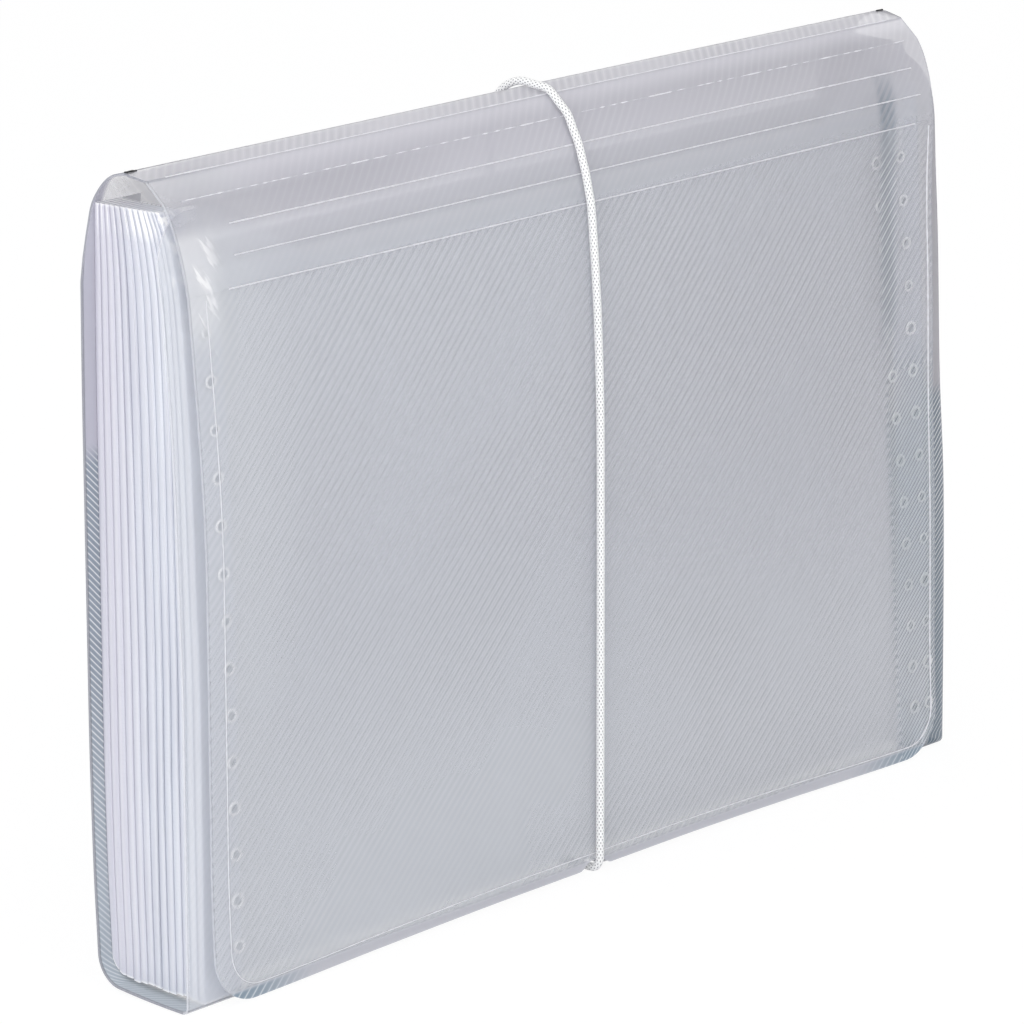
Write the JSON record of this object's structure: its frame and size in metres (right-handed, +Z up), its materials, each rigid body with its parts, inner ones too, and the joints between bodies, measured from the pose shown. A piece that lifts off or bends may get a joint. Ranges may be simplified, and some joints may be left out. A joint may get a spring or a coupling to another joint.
{
  "type": "expanding file folder",
  "caption": "Clear plastic accordion file with a scored front flap, pleated side gussets, pocket dividers and an elastic cord closure.",
  "frame": {"origin": "centre of the footprint, on the surface that the file stands on", "axes": "+X along the width, to the right seen from the front; +Y towards the back panel; +Z up; the flap and front panel face -Y"},
  "size_m": [0.33, 0.0461, 0.2335],
  "materials": {
    "cover_sheet": "clear frosted polypropylene with fine embossed diagonal lines",
    "pocket_sheet": "thin translucent polypropylene",
    "gusset_sheet": "thin whitish translucent polypropylene, pleated",
    "elastic": "white braided round elastic",
    "crimp": "pressed sleeve"
  },
  "bodies": {
    "cover": {"back_panel": "cover_sheet", "bottom_panel": "cover_sheet", "flap_strip_1": "cover_sheet"},
    "flap_top": {"flap_strip_2": "cover_sheet", "flap_strip_3": "cover_sheet", "flap_strip_4": "cover_sheet", "flap_strip_5": "cover_sheet"},
    "flap": {"flap_panel": "cover_sheet"},
    "pocket_01": {"divider_01": "pocket_sheet", "gusset_pleat_left_01": "gusset_sheet", "gusset_pleat_right_01": "gusset_sheet"},
    "pocket_02": {"divider_02": "pocket_sheet", "gusset_pleat_left_02": "gusset_sheet", "gusset_pleat_right_02": "gusset_sheet"},
    "pocket_03": {"divider_03": "pocket_sheet", "gusset_pleat_left_03": "gusset_sheet", "gusset_pleat_right_03": "gusset_sheet"},
    "pocket_04": {"divider_04": "pocket_sheet", "gusset_pleat_left_04": "gusset_sheet", "gusset_pleat_right_04": "gusset_sheet"},
    "pocket_05": {"divider_05": "pocket_sheet", "gusset_pleat_left_05": "gusset_sheet", "gusset_pleat_right_05": "gusset_sheet"},
    "pocket_06": {"divider_06": "pocket_sheet", "gusset_pleat_left_06": "gusset_sheet", "gusset_pleat_right_06": "gusset_sheet"},
    "pocket_07": {"divider_07": "pocket_sheet", "gusset_pleat_left_07": "gusset_sheet", "gusset_pleat_right_07": "gusset_sheet"},
    "pocket_08": {"divider_08": "pocket_sheet", "gusset_pleat_left_08": "gusset_sheet", "gusset_pleat_right_08": "gusset_sheet"},
    "pocket_09": {"divider_09": "pocket_sheet", "gusset_pleat_left_09": "gusset_sheet", "gusset_pleat_right_09": "gusset_sheet"},
    "pocket_10": {"divider_10": "pocket_sheet", "gusset_pleat_left_10": "gusset_sheet", "gusset_pleat_right_10": "gusset_sheet"},
    "pocket_11": {"divider_11": "pocket_sheet", "gusset_pleat_left_11": "gusset_sheet", "gusset_pleat_right_11": "gusset_sheet"},
    "pocket_12": {"divider_12": "pocket_sheet", "gusset_pleat_left_12": "gusset_sheet", "gusset_pleat_right_12": "gusset_sheet"},
    "front": {"front_panel": "cover_sheet", "gusset_pleat_left_13": "gusset_sheet", "gusset_pleat_right_13": "gusset_sheet"},
    "elastic": {"elastic_cord": "elastic", "cord_crimp": "crimp"}
  },
  "joints": [
    {"name": "ridge_fold", "type": "hinge", "parent": "cover", "child": "flap_top", "pos_m": [0, -0.00117, 0.22985], "axis": [-1, 0, 0], "range_deg": [0, 215]},
    {"name": "flap_fold", "type": "hinge", "parent": "flap_top", "child": "flap", "pos_m": [0, -0.01648, 0.20016], "axis": [-1, 0, 0], "range_deg": [0, 35]},
    {"name": "pocket_fold_01", "type": "hinge", "parent": "cover", "child": "pocket_01", "pos_m": [0, -0.01765, 0.00035], "axis": [1, 0, 0], "range_deg": [0, 1.4], "deforming": ["gusset_pleat_left_01", "gusset_pleat_right_01"]},
    {"name": "pocket_fold_02", "type": "hinge", "parent": "pocket_01", "child": "pocket_02", "pos_m": [0, -0.01765, 0.00035], "axis": [1, 0, 0], "range_deg": [0, 1.4], "deforming": ["gusset_pleat_left_02", "gusset_pleat_right_02"]},
    {"name": "pocket_fold_03", "type": "hinge", "parent": "pocket_02", "child": "pocket_03", "pos_m": [0, -0.01765, 0.00035], "axis": [1, 0, 0], "range_deg": [0, 1.4], "deforming": ["gusset_pleat_left_03", "gusset_pleat_right_03"]},
    {"name": "pocket_fold_04", "type": "hinge", "parent": "pocket_03", "child": "pocket_04", "pos_m": [0, -0.01765, 0.00035], "axis": [1, 0, 0], "range_deg": [0, 1.4], "deforming": ["gusset_pleat_left_04", "gusset_pleat_right_04"]},
    {"name": "pocket_fold_05", "type": "hinge", "parent": "pocket_04", "child": "pocket_05", "pos_m": [0, -0.01765, 0.00035], "axis": [1, 0, 0], "range_deg": [0, 1.4], "deforming": ["gusset_pleat_left_05", "gusset_pleat_right_05"]},
    {"name": "pocket_fold_06", "type": "hinge", "parent": "pocket_05", "child": "pocket_06", "pos_m": [0, -0.01765, 0.00035], "axis": [1, 0, 0], "range_deg": [0, 1.4], "deforming": ["gusset_pleat_left_06", "gusset_pleat_right_06"]},
    {"name": "pocket_fold_07", "type": "hinge", "parent": "pocket_06", "child": "pocket_07", "pos_m": [0, -0.01765, 0.00035], "axis": [1, 0, 0], "range_deg": [0, 1.4], "deforming": ["gusset_pleat_left_07", "gusset_pleat_right_07"]},
    {"name": "pocket_fold_08", "type": "hinge", "parent": "pocket_07", "child": "pocket_08", "pos_m": [0, -0.01765, 0.00035], "axis": [1, 0, 0], "range_deg": [0, 1.4], "deforming": ["gusset_pleat_left_08", "gusset_pleat_right_08"]},
    {"name": "pocket_fold_09", "type": "hinge", "parent": "pocket_08", "child": "pocket_09", "pos_m": [0, -0.01765, 0.00035], "axis": [1, 0, 0], "range_deg": [0, 1.4], "deforming": ["gusset_pleat_left_09", "gusset_pleat_right_09"]},
    {"name": "pocket_fold_10", "type": "hinge", "parent": "pocket_09", "child": "pocket_10", "pos_m": [0, -0.01765, 0.00035], "axis": [1, 0, 0], "range_deg": [0, 1.4], "deforming": ["gusset_pleat_left_10", "gusset_pleat_right_10"]},
    {"name": "pocket_fold_11", "type": "hinge", "parent": "pocket_10", "child": "pocket_11", "pos_m": [0, -0.01765, 0.00035], "axis": [1, 0, 0], "range_deg": [0, 1.4], "deforming": ["gusset_pleat_left_11", "gusset_pleat_right_11"]},
    {"name": "pocket_fold_12", "type": "hinge", "parent": "pocket_11", "child": "pocket_12", "pos_m": [0, -0.01765, 0.00035], "axis": [1, 0, 0], "range_deg": [0, 1.4], "deforming": ["gusset_pleat_left_12", "gusset_pleat_right_12"]},
    {"name": "front_fold", "type": "hinge", "parent": "pocket_12", "child": "front", "pos_m": [0, -0.01765, 0.00035], "axis": [1, 0, 0], "range_deg": [0, 1.4], "deforming": ["gusset_pleat_left_13", "gusset_pleat_right_13"]},
    {"name": "elastic_slide", "type": "slide", "parent": "cover", "child": "elastic", "axis": [1, 0, 0], "range_m": [0, 0.36], "deforming": ["elastic_cord", "cord_crimp"]}
  ],
  "couplings": [
    {"joint": "flap_fold", "follows": "ridge_fold", "ratio": 0.16279},
    {"joint": "pocket_fold_01", "follows": "ridge_fold", "ratio": 0.0065116},
    {"joint": "pocket_fold_02", "follows": "ridge_fold", "ratio": 0.0065116},
    {"joint": "pocket_fold_03", "follows": "ridge_fold", "ratio": 0.0065116},
    {"joint": "pocket_fold_04", "follows": "ridge_fold", "ratio": 0.0065116},
    {"joint": "pocket_fold_05", "follows": "ridge_fold", "ratio": 0.0065116},
    {"joint": "pocket_fold_06", "follows": "ridge_fold", "ratio": 0.0065116},
    {"joint": "pocket_fold_07", "follows": "ridge_fold", "ratio": 0.0065116},
    {"joint": "pocket_fold_08", "follows": "ridge_fold", "ratio": 0.0065116},
    {"joint": "pocket_fold_09", "follows": "ridge_fold", "ratio": 0.0065116},
    {"joint": "pocket_fold_10", "follows": "ridge_fold", "ratio": 0.0065116},
    {"joint": "pocket_fold_11", "follows": "ridge_fold", "ratio": 0.0065116},
    {"joint": "pocket_fold_12", "follows": "ridge_fold", "ratio": 0.0065116},
    {"joint": "front_fold", "follows": "ridge_fold", "ratio": 0.0065116},
    {"joint": "elastic_slide", "follows": "ridge_fold", "m_per_rad": 0.095937}
  ]
}
